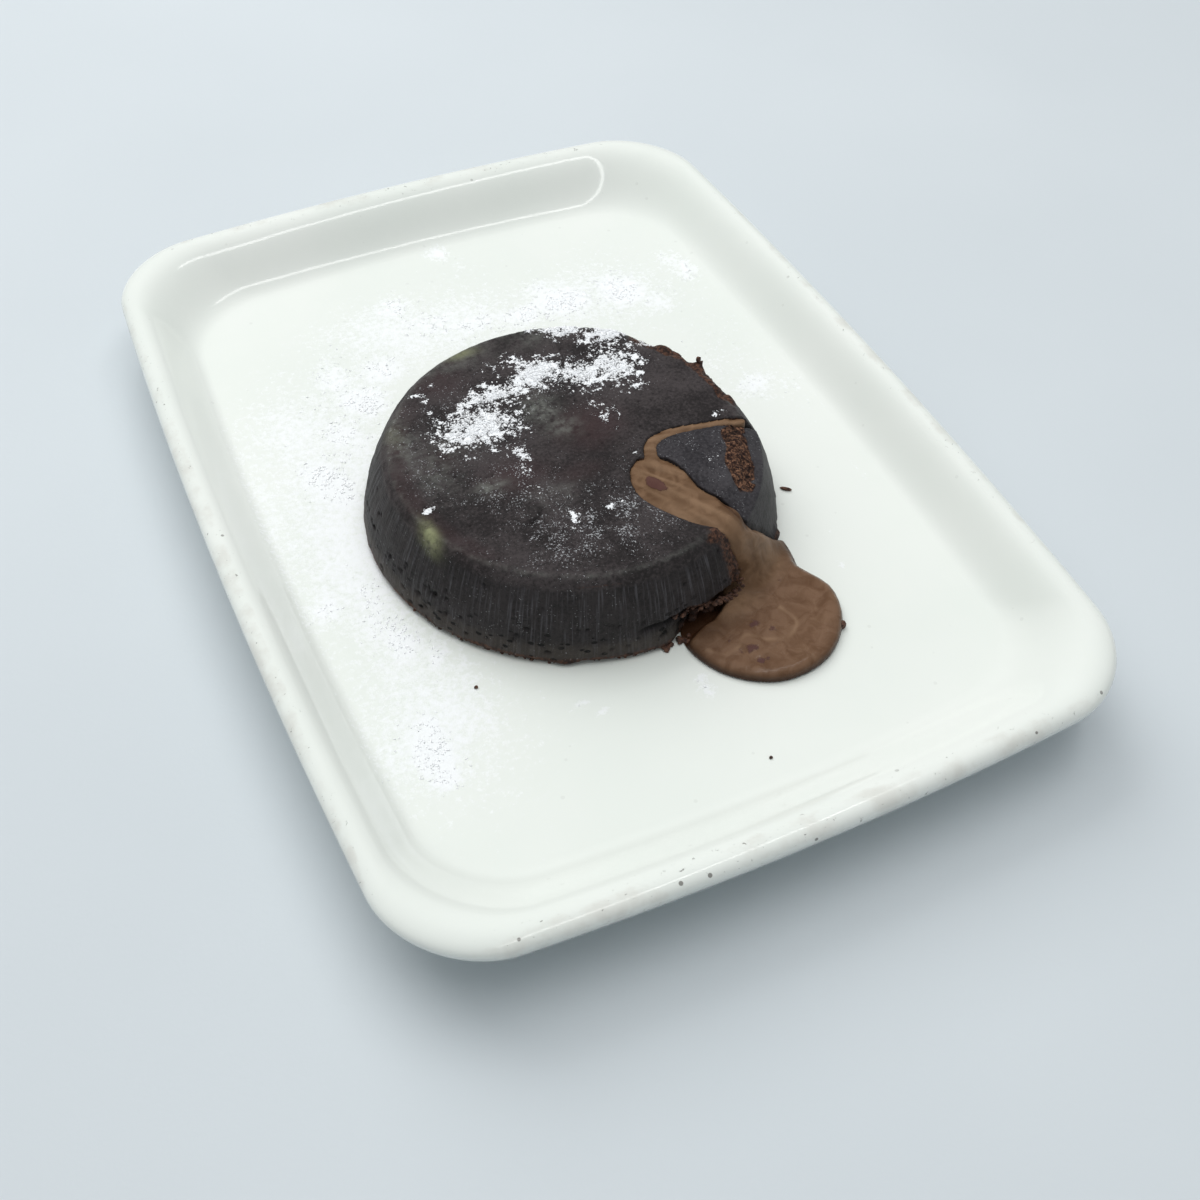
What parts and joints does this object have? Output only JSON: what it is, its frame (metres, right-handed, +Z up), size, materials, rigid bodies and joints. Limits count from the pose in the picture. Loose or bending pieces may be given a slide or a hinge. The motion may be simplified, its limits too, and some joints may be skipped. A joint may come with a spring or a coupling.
{
  "type": "molten chocolate cake on a plate",
  "caption": "Low round chocolate cake with a wedge cut through it, its melted centre flowing out as a puddle, on a rectangular white rimmed plate.",
  "frame": {"origin": "middle of the plate's bounding box, on the surface that its foot stands on", "axes": "+Z up, +Y along the plate's long side away from the end with the puddle, +X across the plate to the side of the cut slice"},
  "size_m": [0.1602, 0.22, 0.0293],
  "materials": {
    "white_glaze": "glossy white glaze with fine dark pits along the rim",
    "dark_sponge": "matte baked chocolate sponge with a fine crumb and pores",
    "cut_sponge": "matte baked chocolate sponge with a broken reddish brown edge",
    "melted_chocolate": "glossy melted milk chocolate with soft streaks",
    "icing_sugar": "dry white icing sugar",
    "cake_crumb": "dry reddish brown cake crumb"
  },
  "bodies": {
    "root": {"plate": "white_glaze", "cake": "dark_sponge", "cake_slice": "cut_sponge", "filling": "melted_chocolate"}
  },
  "joints": []
}
